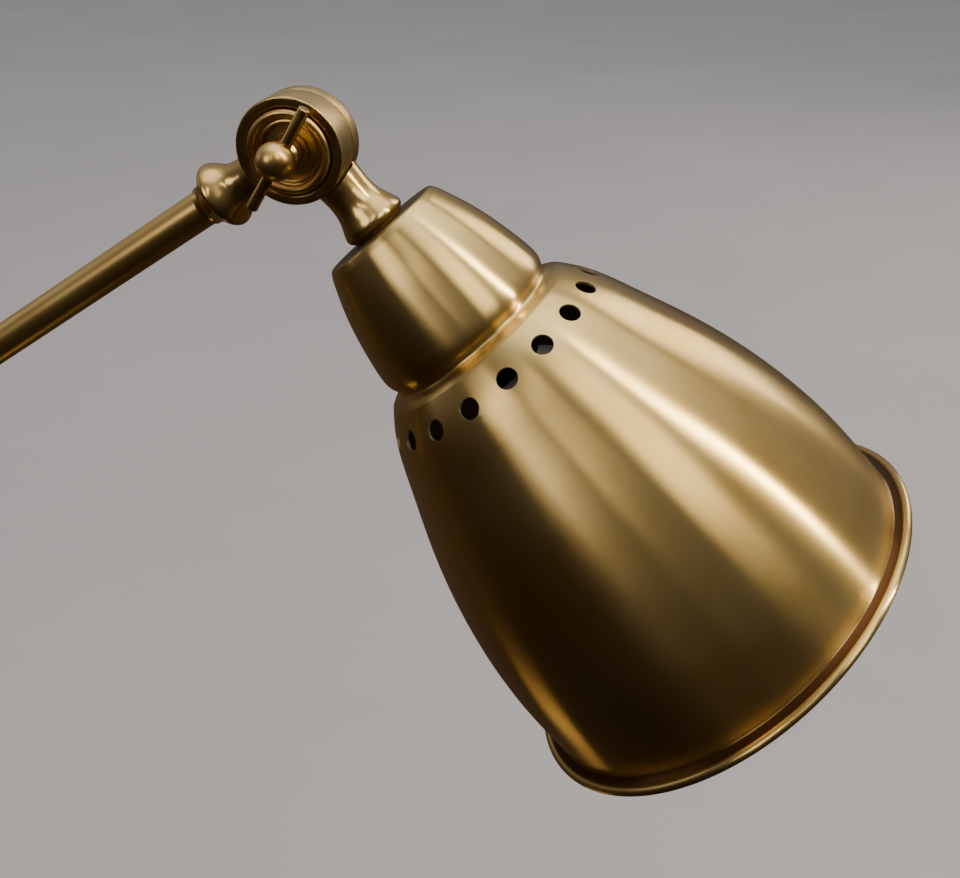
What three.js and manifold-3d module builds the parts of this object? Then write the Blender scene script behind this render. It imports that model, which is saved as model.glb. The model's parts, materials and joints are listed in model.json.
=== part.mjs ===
// An adjustable arm floor lamp: a weighted round base, a vertical pole, a tubular arm on a lap-jointed
// friction hinge, and a two-stage spun shade on a second hinge of the same pattern.
// Millimetres, +Z up. The origin is the centre of the underside of the base. The arm reaches towards +X,
// both hinge axes run along Y, and the thumb screws are on the -Y side.
import * as THREE from "three";
import { mergeVertices } from "three/addons/utils/BufferGeometryUtils.js";
import Module from "manifold-3d";

const wasm = await Module();
wasm.setup();

// -----------------------------------------------------------------------------------------------
// Driving dimensions
// -----------------------------------------------------------------------------------------------
const gap = 0.3; // clearance between two pieces that are fitted together
const round = 24; // sides of a turned piece
const roundSmall = 12; // sides of a small turned piece

// overall pose and reach
const lowerHingeHeight = 790; // lower hinge axis above the floor
const armLength = 360; // hinge axis to hinge axis
const armElevation = 33.9; // degrees above the horizontal, as stored
const headDrop = 48.6; // degrees that the shade's axis points below the horizontal, as stored

// tubes
const poleRadius = 8;
const armRadius = 6;
const tubeWall = 1;
const flexRadius = 1.3; // the two-core flex inside the tubes

// base
const baseRadius = 115;
const padThickness = 3;
const padInset = 4; // the pad stops short of the base's edge
const rimHeight = 14; // height of the cover's upright edge
const coverWall = 1.2;
const domeHeight = 8; // rise of the cover from its edge to its step
const stepRadius = 62; // where the cover steps up
const stepHeight = 3;
const crownRise = 4; // rise from the step to the collar
const weightInset = 3; // gap between the weight and the cover's edge
const collarRadius = 17; // the turned collar round the foot of the pole
const collarHeight = 24;
const nutRecessRadius = 13;
const nutRecessDepth = 9;
const cordBoreRadius = 2.8; // the mains cord's way through the gland
const glandRadius = 4;
const glandFlangeRadius = 5;
const glandFlange = 1.6;
const glandLength = 9;

// hinge: each knuckle is a half drum with its stem on the shared centre plane
const drumRadius = 16.6;
const drumFront = 12.6; // front face of the front half, in front of the stems' centre plane
const drumBack = 8; // back face of the rear half, behind that plane
const seamOffset = 1; // the seam lies this far in front of the centre plane
const seamGap = 0.5;
const drumBackRounding = 4.2;
const drumFrontChamfer = 0.7;
const lapClearance = 0.6; // between a drum's wall and the other knuckle's stem
const spindleRadius = 3;
const hubRadius = 6.6; // solid boss round the spindle
const chamberRadius = 12.2; // annular wire chamber, outer radius
const frontChamberDepth = 5;
const backChamberDepth = 2.6;
const washerInner = 12.9; // friction washer
const washerOuter = 15.2;
const washerThickness = 0.6;
const wireBore = 1.9;
const wireOffsetFront = 3.9; // the flex runs this far in front of the centre plane in a front knuckle
const wireOffsetBack = 2.6; // and this far behind it in a rear one
const nutFlats = 10; // M6 hexagon nut
const nutThickness = 4;

// cup washer and thumb screw
const cupRadius = 13;
const cupCrestRadius = 11.7;
const cupCrestHeight = 1.3; // the crest stands this far proud of the drum's face
const cupSeatDepth = 4;
const cupFloor = 1.3; // thickness of the cup washer's floor
const cupDishRadius = 9; // inner edge of the dish
const springRadius = 5.6; // spring washer under the screw's collar
const springThickness = 1.2;
const ballRadius = 5.8;
const ballStandOff = 23.2; // ball centre in front of the stems' centre plane
const barRadius = 1.75;
const barLength = 36.4;
const barOffset = 1.8; // the bar's axis behind the ball's centre
const barLean = 32; // degrees that the bar leans from the vertical towards +X
const screwCollarRadius = 4.2;
const screwCollarLength = 4;
const capDepth = 1; // the back cap's seat in the drum

// stems: distance along the stem from the hinge axis, and radius
const stemWaist = { at: 21.5, radius: 6.7 };
const neckWaist = { at: 20.3, radius: 7.75 };
const ferruleBellAt = 33.5; // the widest place of an arm or pole ferrule
const armFerruleWall = 5.1; // a ferrule's thickness there, outside its tube
const poleFerruleWall = 3.6;
const ferruleLip = 0.4; // its thickness at the end, outside the socket
const ferruleEnd = 41;
const neckBellAt = 31.9;
const neckBellRadius = 10.85;
const neckEnd = 35.1;
const neckEndRadius = 8.8;
const socketDepth = 12; // how far a tube goes into its ferrule

// shade: distances along its axis from the outside of the cup's top
const shadeWall = 0.9;
const cupTopRadius = 20.2;
const cupCorner = 2.2;
const cupLength = 43; // to the groove between cup and bell
const cupEndRadius = 33.3;
const ventSetback = 11.2; // from the groove to the centres of the vents
const ventRadius = 3.4;
const ventCount = 18;
const ventPhase = 7.4; // degrees that the first vent is turned from the top of the shade
const bellEnd = 175.3; // where the bell's wall meets the rim flange
const bellEndRadius = 74.8;
const rimRadius = 80;
const rimRise = 3.1; // from the end of the bell's wall to the bead's centre
const beadRadius = 1.5;

// lampholder and bulb (small screw cap and round bulb)
const nippleRadius = 5;
const nippleBore = 3.9;
const nippleNutFlats = 14;
const nippleNutThickness = 3;
const holderCapRadius = 13.5;
const holderCapLength = 16;
const holderBodyRadius = 12.5;
const holderBodyLength = 27;
const contactShellRadius = 7.7;
const bulbCapRadius = 6.7;
const bulbCapLength = 22;
const bulbHousingLength = 14;
const bulbHousingRadius = 14;
const globeRadius = 22.5;

// -----------------------------------------------------------------------------------------------
// Solids
// -----------------------------------------------------------------------------------------------
const degrees = THREE.MathUtils.degToRad;

// A three.js geometry as a manifold-3d solid that faces out.
function solid(geometry) {
  const bare = geometry.index ? geometry.toNonIndexed() : geometry.clone();
  bare.deleteAttribute("normal");
  bare.deleteAttribute("uv");
  const merged = mergeVertices(bare, 1e-4);
  const index = Array.from(merged.index.array);
  const kept = [];
  for (let i = 0; i < index.length; i += 3) {
    const [a, b, c] = index.slice(i, i + 3);
    if (a !== b && b !== c && c !== a) kept.push(a, b, c);
  }
  const build = (triangles) =>
    new wasm.Manifold(
      new wasm.Mesh({
        numProp: 3,
        vertProperties: new Float32Array(merged.attributes.position.array),
        triVerts: new Uint32Array(triangles),
      }),
    );
  const made = build(kept);
  if (made.volume() > 0) return made;
  for (let i = 0; i < kept.length; i += 3) [kept[i + 1], kept[i + 2]] = [kept[i + 2], kept[i + 1]];
  return build(kept);
}

// A manifold-3d solid back as a three.js geometry.
function geometryOf(made) {
  const mesh = made.getMesh();
  const positions = new Float32Array(mesh.numVert * 3);
  for (let i = 0; i < mesh.numVert; i++) {
    positions.set(mesh.vertProperties.subarray(i * mesh.numProp, i * mesh.numProp + 3), i * 3);
  }
  const geometry = new THREE.BufferGeometry();
  geometry.setAttribute("position", new THREE.BufferAttribute(positions, 3));
  geometry.setIndex(new THREE.BufferAttribute(new Uint32Array(mesh.triVerts), 1));
  return geometry;
}

// A solid of revolution. profile is a list of [radius, distance along the axis] that starts and ends on the
// axis, or closes on itself. axis is "x", "y" or "z".
function turned(profile, axis = "z", sides = round) {
  const points = profile.map(([radius, along]) => new THREE.Vector2(radius, along));
  const geometry = new THREE.LatheGeometry(points, sides);
  if (axis === "z") geometry.rotateX(Math.PI / 2);
  if (axis === "x") geometry.rotateZ(-Math.PI / 2);
  return solid(geometry);
}

// A plain rod from one place to another along an axis.
function rod(radius, from, to, axis = "z", sides = roundSmall) {
  const profile = [[0, from], [radius, from], [radius, to], [0, to]];
  return turned(profile, axis, sides);
}

// A tube or ring.
function ring(inner, outer, from, to, axis = "z", sides = roundSmall) {
  const profile = [[inner, from], [outer, from], [outer, to], [inner, to], [inner, from]];
  return turned(profile, axis, sides);
}

// A hexagon prism, given across its flats.
function hexagon(flats, from, to, axis = "z") {
  return rod(flats / Math.sqrt(3), from, to, axis, 6);
}

// Points on an arc, for use in a profile: centre, radius, start and end angle in degrees.
function arc(centreRadius, centreAlong, radius, start, end, steps) {
  return Array.from({ length: steps + 1 }, (_, i) => {
    const angle = degrees(start + ((end - start) * i) / steps);
    return [centreRadius + radius * Math.cos(angle), centreAlong + radius * Math.sin(angle)];
  });
}

// A smooth curve through a few [radius, along] points.
function smooth(points, steps) {
  const curve = new THREE.SplineCurve(points.map(([radius, along]) => new THREE.Vector2(radius, along)));
  return curve.getPoints(steps).map((p) => [p.x, p.y]);
}

const finishes = {
  brass: { color: 0xa8864a, roughness: 0.3, metalness: 1 },
  shade: { color: 0xa8864a, roughness: 0.36, metalness: 1 },
  iron: { color: 0x2b2b2d, roughness: 0.8, metalness: 0.3 },
  steel: { color: 0xb9bbbf, roughness: 0.35, metalness: 1 },
  felt: { color: 0x1c1c1c, roughness: 1, metalness: 0 },
  fibre: { color: 0x2a211b, roughness: 0.9, metalness: 0 },
  plastic: { color: 0x151515, roughness: 0.5, metalness: 0 },
  flex: { color: 0xe8e4da, roughness: 0.6, metalness: 0 },
  housing: { color: 0xf0f0ee, roughness: 0.5, metalness: 0 },
  globe: { color: 0xf7f5ee, roughness: 0.2, metalness: 0 },
};

// Adds one named piece to a group.
function add(group, name, made, finish) {
  const mesh = new THREE.Mesh(geometryOf(made), new THREE.MeshStandardMaterial(finishes[finish]));
  mesh.name = name;
  group.add(mesh);
  return mesh;
}

// -----------------------------------------------------------------------------------------------
// Hinge pieces. Local frame: the hinge axis is Y with the front at -Y, and the stem runs along +X.
// -----------------------------------------------------------------------------------------------
const seamFront = -seamOffset - seamGap / 2; // the front half's mating face
const seamBack = -seamOffset + seamGap / 2; // the rear half's mating face
const washerSeatDepth = (washerThickness + 2 * gap - seamGap) / 2;
const lapRadius = drumRadius + lapClearance;

// The outside of a ferrule that ends round a tube: waist, bell and rounded tail.
function ferruleProfile(tubeRadius, wall) {
  const tail = tubeRadius + gap + ferruleLip;
  const bell = tubeRadius + wall;
  const side = smooth(
    [
      [stemWaist.radius, stemWaist.at],
      [(stemWaist.radius + bell) / 2, ferruleBellAt - 6.5],
      [bell - 0.2, ferruleBellAt - 1.8],
      [bell, ferruleBellAt],
      [bell - 1.1, ferruleBellAt + 3.2],
      [(tail + bell) / 2 - 0.6, ferruleEnd - 1.6],
      [tail, ferruleEnd],
    ],
    10,
  );
  return [[0, 0], [stemWaist.radius + 0.8, 0], ...side, [0, ferruleEnd]];
}

// The outside of the neck that carries the shade: waist, flare and a rolled foot.
function neckProfile() {
  const side = smooth(
    [
      [neckWaist.radius, neckWaist.at],
      [neckWaist.radius + 0.3, neckWaist.at + 3.7],
      [neckWaist.radius + 1.8, neckBellAt - 3.3],
      [neckBellRadius - 0.2, neckBellAt - 1.2],
      [neckBellRadius, neckBellAt],
      [neckBellRadius - 0.3, neckEnd - 1.9],
      [neckEndRadius, neckEnd],
    ],
    10,
  );
  return [[0, 0], [neckWaist.radius + 0.9, 0], ...side, [0, neckEnd]];
}

// The outline of the front half drum, from its mating face to its front face.
function frontDrum() {
  return turned(
    [
      [0, seamFront],
      [drumRadius, seamFront],
      [drumRadius, -drumFront + drumFrontChamfer],
      [drumRadius - drumFrontChamfer, -drumFront],
      [0, -drumFront],
    ],
    "y",
  );
}

// The outline of the rear half drum, with its rounded back edge.
function rearDrum() {
  const edge = arc(drumRadius - drumBackRounding, drumBack - drumBackRounding, drumBackRounding, 0, 90, 4);
  return turned([[0, seamBack], [drumRadius, seamBack], ...edge, [0, drumBack]], "y");
}

// Cuts that both half drums share: the spindle hole, the wire chamber and the friction washer's seat.
// direction is -1 for a front half and 1 for a rear one.
function cutDrum(made, face, direction, chamberDepth) {
  const beyond = face - direction; // starts outside the mating face
  return made
    .subtract(rod(spindleRadius + gap, -drumFront - 1, drumBack + 1, "y"))
    .subtract(ring(hubRadius, chamberRadius, beyond, face + direction * chamberDepth, "y", round))
    .subtract(
      ring(washerInner - gap, washerOuter + gap, beyond, face + direction * washerSeatDepth, "y", round),
    );
}

// A front knuckle: half drum, stem with its rear lapped away, tube socket and wire bore.
function frontKnuckle(tubeRadius, wall) {
  const rearLap = rod(lapRadius, seamFront, lapRadius, "y", round);
  const stem = turned(ferruleProfile(tubeRadius, wall), "x").subtract(rearLap);
  const seat = rod(cupRadius + gap, -drumFront - 1, -drumFront + cupSeatDepth, "y", round);
  const socket = rod(tubeRadius + gap, ferruleEnd - socketDepth - gap, ferruleEnd + 1, "x", round);
  const wireEnd = ferruleEnd - socketDepth;
  const wire = rod(wireBore, hubRadius + 1, wireEnd, "x").translate([0, -wireOffsetFront, 0]);
  const drum = cutDrum(frontDrum().add(stem), seamFront, -1, frontChamberDepth);
  return drum.subtract(seat).subtract(socket).subtract(wire);
}

// The shared body of a rear knuckle: half drum, stem with its front lapped away, nut pocket and wire bore.
function rearKnuckle(profile, wireEnd) {
  const frontLap = rod(lapRadius, -lapRadius, seamBack, "y", round);
  const stem = turned(profile, "x").subtract(frontLap);
  const pocket = hexagon(nutFlats + 2 * gap, drumBack - capDepth - nutThickness - 1, drumBack + 1, "y");
  const capSeat = rod(hubRadius + gap, drumBack - capDepth, drumBack + 1, "y", round);
  const wire = rod(wireBore, hubRadius + 1, wireEnd, "x").translate([0, wireOffsetBack, 0]);
  const drum = cutDrum(rearDrum().add(stem), seamBack, 1, backChamberDepth);
  return drum.subtract(pocket).subtract(capSeat).subtract(wire);
}

function poleKnuckle() {
  const socket = rod(poleRadius + gap, ferruleEnd - socketDepth - gap, ferruleEnd + 1, "x", round);
  const outline = ferruleProfile(poleRadius, poleFerruleWall);
  return rearKnuckle(outline, ferruleEnd - socketDepth).subtract(socket);
}

function headKnuckle() {
  const nippleSeat = rod(nippleRadius + gap, neckEnd - 8, neckEnd + 1, "x");
  return rearKnuckle(neckProfile(), neckEnd - 7).subtract(nippleSeat);
}

function frictionWasher() {
  const from = -seamOffset - washerThickness / 2;
  return ring(washerInner, washerOuter, from, from + washerThickness, "y", round);
}

// The dished washer in the front face: a rolled lip, a hollow and a flat floor round the screw.
function cupWasher() {
  const back = -drumFront + cupSeatDepth - gap;
  const lip = arc(cupCrestRadius, -drumFront, cupCrestHeight, 0, -180, 6);
  return turned(
    [
      [spindleRadius + gap, back],
      [cupRadius, back],
      ...lip,
      [cupDishRadius, back - cupFloor],
      [spindleRadius + gap, back - cupFloor],
      [spindleRadius + gap, back],
    ],
    "y",
  );
}

function springWasher() {
  const face = -drumFront + cupSeatDepth - gap - cupFloor - gap;
  return ring(spindleRadius + gap, springRadius, face - springThickness + gap, face, "y");
}

// The thumb screw: ball head bored for its cross bar, collar and spindle.
function thumbScrew() {
  const washerFace = -drumFront + cupSeatDepth - gap - cupFloor - springThickness - gap;
  const spindleEnd = drumBack - capDepth - 0.1;
  const ballEdge = Math.sqrt(ballRadius ** 2 - (spindleRadius + 0.2) ** 2);
  const start = (Math.atan2(ballEdge, spindleRadius + 0.2) * 180) / Math.PI;
  const ball = arc(0, -ballStandOff, ballRadius, -90, start, 8);
  ball[0][0] = 0;
  const body = turned(
    [
      ...ball,
      [spindleRadius + 0.2, washerFace - screwCollarLength - 0.8],
      [screwCollarRadius, washerFace - screwCollarLength],
      [screwCollarRadius, washerFace - gap],
      [spindleRadius, washerFace - gap],
      [spindleRadius, spindleEnd],
      [0, spindleEnd],
    ],
    "y",
    20,
  );
  const barHole = rod(barRadius + gap, -ballRadius - 1, ballRadius + 1, "z").translate([
    0,
    -ballStandOff + barOffset,
    0,
  ]);
  return body.subtract(barHole);
}

// The cross bar, with slightly rounded ends.
function crossBar() {
  const half = barLength / 2;
  const edge = 0.5;
  return turned(
    [
      [0, -half],
      [barRadius - edge, -half],
      [barRadius, -half + edge],
      [barRadius, half - edge],
      [barRadius - edge, half],
      [0, half],
    ],
    "z",
    12,
  ).translate([0, -ballStandOff + barOffset, 0]);
}

function clampNut() {
  const from = drumBack - capDepth - nutThickness - 0.5;
  const bore = rod(spindleRadius + gap, from - 1, drumBack, "y");
  return hexagon(nutFlats, from, from + nutThickness, "y").subtract(bore);
}

// The low domed cap that closes the nut pocket.
function backCap() {
  const inside = drumBack - capDepth + gap;
  const dome = [[hubRadius, drumBack], [hubRadius - 2.6, drumBack + 1.1], [0, drumBack + 1.5]];
  return turned([[0, inside], [hubRadius, inside], ...dome], "y", 20);
}

// -----------------------------------------------------------------------------------------------
// Stand
// -----------------------------------------------------------------------------------------------
const coverBottom = padThickness + gap;
const coverEdgeTop = padThickness + rimHeight;
const stepBottom = coverEdgeTop + domeHeight;
const stepTop = stepBottom + stepHeight;
const crownTop = stepTop + crownRise;
const boltRadius = nippleRadius;

// The top line of the cover from its edge to the pole, raised by an offset for its outer face.
function coverLine(offset) {
  const corner = 4;
  const cornerRadius = baseRadius - coverWall + offset - corner;
  const cornerHeight = coverEdgeTop - coverWall + offset - corner;
  return [
    ...arc(cornerRadius, cornerHeight, corner, 0, 62, 3),
    [stepRadius + 26, stepBottom - coverWall + offset - 3.2],
    [stepRadius + 2.2, stepBottom - coverWall + offset],
    [stepRadius + offset, stepTop - coverWall + offset - 1.2],
    [stepRadius - 1.6, stepTop - coverWall + offset],
    [collarRadius + 6, crownTop - coverWall + offset],
  ];
}

function baseCover() {
  const outer = coverLine(coverWall);
  const inner = coverLine(0).reverse();
  const hole = boltRadius + gap;
  const shell = turned(
    [
      [baseRadius - coverWall, coverBottom],
      [baseRadius, coverBottom],
      ...outer,
      [hole, crownTop],
      [hole, crownTop - coverWall],
      ...inner,
      [baseRadius - coverWall, coverBottom],
    ],
    "z",
    36,
  );
  return shell.subtract(glandHole(glandRadius + gap));
}

const glandHeight = padThickness + glandFlangeRadius + 0.6;

// A hole along -X through the edge of the base, for the gland and the cord.
function glandHole(radius, from = 0) {
  return rod(radius, -baseRadius - 2, from, "x").translate([0, 0, glandHeight]);
}

function baseWeight() {
  const outside = baseRadius - coverWall - weightInset;
  const top = stepBottom - coverWall - 3.6;
  const disc = turned(
    [
      [0, padThickness + gap],
      [outside, padThickness + gap],
      [outside, coverEdgeTop - coverWall - 5],
      [stepRadius + 20, top - 2.4],
      [stepRadius, top],
      [0, top],
    ],
    "z",
    36,
  );
  const recess = rod(nutRecessRadius, padThickness, padThickness + nutRecessDepth, "z", round);
  const bolt = rod(boltRadius + gap, 0, top + 1, "z");
  const channel = glandHole(glandRadius + 2 * gap, -nutRecessRadius + 3);
  return disc.subtract(recess).subtract(bolt).subtract(channel);
}

function cordGland() {
  const out = -baseRadius - glandFlange;
  const wall = -baseRadius - gap;
  return turned(
    [
      [cordBoreRadius, out],
      [glandFlangeRadius - 0.8, out],
      [glandFlangeRadius, out + 0.8],
      [glandFlangeRadius, wall],
      [glandRadius, wall],
      [glandRadius, out + glandLength],
      [cordBoreRadius, out + glandLength],
      [cordBoreRadius, out],
    ],
    "x",
    16,
  ).translate([0, 0, glandHeight]);
}

// The turned collar that hides the joint between cover and pole.
function footCollar() {
  const bottom = crownTop + gap;
  const side = smooth(
    [
      [collarRadius, bottom + 3],
      [collarRadius - 2.4, bottom + 6.5],
      [collarRadius - 5.2, bottom + 12],
      [poleRadius + 3.6, bottom + 17],
      [poleRadius + 4, bottom + 20.5],
      [poleRadius + 2.2, bottom + collarHeight],
    ],
    8,
  );
  const bore = poleRadius + gap;
  return turned([
    [bore, bottom],
    [collarRadius, bottom],
    ...side,
    [bore, bottom + collarHeight],
    [bore, bottom],
  ]);
}

const poleBottom = crownTop + gap;
const poleTop = lowerHingeHeight - ferruleEnd + socketDepth;
const footNutThickness = 4;
const footWasherThickness = 1.5;
const footWasherBottom = padThickness + nutRecessDepth - gap - footWasherThickness;
const footNutTop = footWasherBottom - gap;
const footNutBottom = footNutTop - footNutThickness;
const flexOffset = wireOffsetBack - 0.5; // the flex lies in the wire bore nearer the pole's axis

function buildStand(stand) {
  add(stand, "base_pad", turned([
    [0, 0],
    [baseRadius - padInset, 0],
    [baseRadius - padInset, padThickness],
    [0, padThickness],
  ], "z", 36), "felt");
  add(stand, "base_weight", baseWeight(), "iron");
  add(stand, "base_cover", baseCover(), "brass");
  add(stand, "cord_gland", cordGland(), "plastic");
  add(stand, "foot_collar", footCollar(), "brass");
  const rodBottom = footNutBottom - 1.2;
  const rodTop = poleBottom + 26;
  add(stand, "foot_threaded_tube", ring(nippleBore, boltRadius, rodBottom, rodTop), "steel");
  const nutBore = rod(boltRadius + gap, 0, footNutTop + 1);
  add(stand, "foot_nut", hexagon(nippleNutFlats + 3, footNutBottom, footNutTop).subtract(nutBore), "steel");
  const washerTop = footWasherBottom + footWasherThickness;
  const washer = ring(boltRadius + gap, nutRecessRadius - 2, footWasherBottom, washerTop);
  add(stand, "foot_washer", washer, "steel");
  const bushFrom = poleBottom + 4;
  const bush = ring(boltRadius + gap, poleRadius - tubeWall - gap, bushFrom, bushFrom + 20);
  add(stand, "pole_bush", bush, "steel");
  add(stand, "pole_tube", ring(poleRadius - tubeWall, poleRadius, poleBottom, poleTop, "z", 24), "brass");
  add(stand, "pole_flex", rod(flexRadius, rodBottom, lowerHingeHeight - hubRadius - 3, "z", 8).translate([
    0,
    flexOffset,
    0,
  ]), "flex");
}

// -----------------------------------------------------------------------------------------------
// Head: local frame of the upper hinge, with the shade's axis along +X
// -----------------------------------------------------------------------------------------------
const shadeStart = neckEnd + gap; // the outside of the cup's top, from the hinge axis

// How the cup and the bell widen: [share of the widening, share of the length].
const cupForm = [[0, 0.05], [0.26, 0.19], [0.53, 0.37], [0.73, 0.56], [0.88, 0.75], [0.96, 0.9], [1, 1]];
const bellForm = [
  [0.06, 0.02],
  [0.2, 0.08],
  [0.41, 0.2],
  [0.61, 0.35],
  [0.79, 0.5],
  [0.92, 0.67],
  [0.99, 0.82],
  [1, 1],
];

// A form drawn between two radii and two distances along the axis.
function widening(form, fromRadius, toRadius, from, to, steps) {
  const points = form.map(([wide, along]) => [
    THREE.MathUtils.lerp(fromRadius, toRadius, wide),
    THREE.MathUtils.lerp(from, to, along),
  ]);
  return smooth(points, steps);
}

// The shade's outer line, as [radius, distance from the cup's top], from the cup's corner to the rim.
function shadeLine() {
  const corner = [cupTopRadius + cupCorner * 0.6, cupCorner * 0.3];
  const cup = widening(cupForm, cupTopRadius + cupCorner * 0.8, cupEndRadius, 0, cupLength, 5);
  const bell = widening(bellForm, cupEndRadius, bellEndRadius, cupLength, bellEnd, 8);
  return [[cupTopRadius, 0], corner, ...cup, ...bell];
}

// The outer line's radius at a distance from the cup's top.
function shadeRadius(line, at) {
  const i = line.findIndex(([, along]) => along > at);
  const [[r0, a0], [r1, a1]] = [line[i - 1], line[i]];
  return THREE.MathUtils.mapLinear(at, a0, a1, r0, r1);
}

// The same line moved in by the wall's thickness.
function insetLine(line, by) {
  return line.map(([radius, along], i) => {
    const before = line[Math.max(i - 1, 0)];
    const after = line[Math.min(i + 1, line.length - 1)];
    const run = new THREE.Vector2(after[0] - before[0], after[1] - before[1]).normalize();
    return [radius - by * run.y, Math.max(along + by * run.x, by)];
  });
}

function shadeShell() {
  const line = shadeLine();
  const inner = insetLine(line, shadeWall).reverse();
  const bead = arc(rimRadius - beadRadius, bellEnd + rimRise, beadRadius, -110, 130, 4);
  const hole = nippleRadius + gap;
  const shell = turned(
    [
      [hole, 0],
      ...line,
      [bellEndRadius + 1.2, bellEnd + 0.6],
      ...bead,
      [bellEndRadius + 0.4, bellEnd + 2.2],
      ...inner,
      [hole, shadeWall],
      [hole, 0],
    ],
    "x",
    32,
  );
  // The vents are square to the bell's wall.
  const ventAt = cupLength + ventSetback;
  const [near, far] = [shadeRadius(line, ventAt - ventRadius), shadeRadius(line, ventAt + ventRadius)];
  const wallLean = Math.atan2(far - near, 2 * ventRadius);
  let made = shell;
  for (let i = 0; i < ventCount; i++) {
    const cutter = new THREE.CylinderGeometry(ventRadius, ventRadius, 10 * shadeWall, 8);
    cutter.rotateX(Math.PI / 2);
    cutter.rotateY(-wallLean);
    cutter.translate(ventAt, 0, (near + far) / 2);
    cutter.rotateX(degrees((360 / ventCount) * i + ventPhase));
    made = made.subtract(solid(cutter));
  }
  return made.translate([shadeStart, 0, 0]);
}

const holderStart = shadeStart + shadeWall + nippleNutThickness + 2 * gap;
const holderBodyStart = holderStart + holderCapLength + gap;
const bulbCapStart = holderBodyStart + 6;
const housingStart = bulbCapStart + bulbCapLength + gap;
const globeNeckRadius = bulbHousingRadius - 1.5;
const globeNeckDepth = Math.sqrt(globeRadius ** 2 - globeNeckRadius ** 2);
const globeCentre = housingStart + bulbHousingLength + gap + globeNeckDepth;

function holderCap() {
  const end = holderStart + holderCapLength;
  const thick = 2;
  return turned(
    [
      [nippleRadius + gap, holderStart],
      [nippleRadius + 3, holderStart],
      [holderCapRadius - 2, holderStart + 3],
      [holderCapRadius, holderStart + 7],
      [holderCapRadius, end],
      [holderCapRadius - thick, end],
      [holderCapRadius - thick, holderStart + 7],
      [nippleRadius + gap, holderStart + thick + 1],
      [nippleRadius + gap, holderStart],
    ],
    "x",
    20,
  );
}

function holderBody() {
  const end = holderBodyStart + holderBodyLength;
  const inner = contactShellRadius + gap;
  return turned(
    [
      [0, holderBodyStart],
      [holderBodyRadius, holderBodyStart],
      [holderBodyRadius, end - 3],
      [holderBodyRadius + 1.6, end - 3],
      [holderBodyRadius + 1.6, end],
      [inner, end],
      [inner, holderBodyStart + 3],
      [0, holderBodyStart + 3],
    ],
    "x",
    20,
  );
}

function bulbGlobe() {
  const start = (Math.atan2(-globeNeckDepth, globeNeckRadius) * 180) / Math.PI;
  const line = arc(0, globeCentre, globeRadius, start, 90, 9);
  line[line.length - 1][0] = 0;
  return turned([[0, line[0][1]], ...line], "x", 20);
}

function buildHead(head) {
  add(head, "head_knuckle", headKnuckle(), "brass");
  add(head, "upper_friction_washer", frictionWasher(), "fibre");
  add(head, "upper_clamp_nut", clampNut(), "steel");
  add(head, "upper_back_cap", backCap(), "brass");
  add(head, "shade", shadeShell(), "shade");
  const nippleStart = neckEnd - 7;
  const nippleEnd = holderStart + 6;
  add(head, "neck_nipple", ring(nippleBore, nippleRadius, nippleStart, nippleEnd, "x"), "steel");
  const nutStart = shadeStart + shadeWall + gap;
  const nutHole = rod(nippleRadius + gap, nutStart - 1, nutStart + nippleNutThickness + 1, "x");
  const nut = hexagon(nippleNutFlats, nutStart, nutStart + nippleNutThickness, "x").subtract(nutHole);
  add(head, "nipple_nut", nut, "steel");
  add(head, "holder_cap", holderCap(), "plastic");
  add(head, "holder_body", holderBody(), "plastic");
  const shellStart = holderBodyStart + 4.5;
  const shellEnd = holderBodyStart + holderBodyLength - 4;
  const shellInner = contactShellRadius - 0.6;
  const screwShell = ring(shellInner, contactShellRadius, shellStart, shellEnd, "x", 16);
  add(head, "holder_screw_shell", screwShell, "brass");
  const contactFrom = holderBodyStart + 3 + gap;
  add(head, "holder_centre_contact", rod(2, contactFrom, bulbCapStart - gap, "x", 12), "brass");
  add(head, "bulb_cap", rod(bulbCapRadius, bulbCapStart, bulbCapStart + bulbCapLength, "x", 16), "steel");
  const housing = [
    [0, housingStart],
    [bulbCapRadius, housingStart],
    [bulbHousingRadius - 1, housingStart + bulbHousingLength - 1],
    [bulbHousingRadius - 1, housingStart + bulbHousingLength],
    [0, housingStart + bulbHousingLength],
  ];
  add(head, "bulb_housing", turned(housing, "x", 20), "housing");
  add(head, "bulb_globe", bulbGlobe(), "globe");
  const flex = rod(flexRadius, hubRadius + 3, nippleStart + 14, "x", 8).translate([0, flexOffset, 0]);
  add(head, "head_flex", flex, "flex");
}

// -----------------------------------------------------------------------------------------------
// Assembly
// -----------------------------------------------------------------------------------------------
const lamp = new THREE.Group();

const stand = new THREE.Group();
buildStand(stand);
const poleTurn = new THREE.Group(); // the pole's knuckle points its stem down
poleTurn.position.z = lowerHingeHeight;
poleTurn.rotation.y = Math.PI / 2;
add(poleTurn, "pole_knuckle", poleKnuckle(), "brass");
add(poleTurn, "lower_friction_washer", frictionWasher(), "fibre");
add(poleTurn, "lower_clamp_nut", clampNut(), "steel");
add(poleTurn, "lower_back_cap", backCap(), "brass");
stand.add(poleTurn);
lamp.add(stand);

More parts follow.
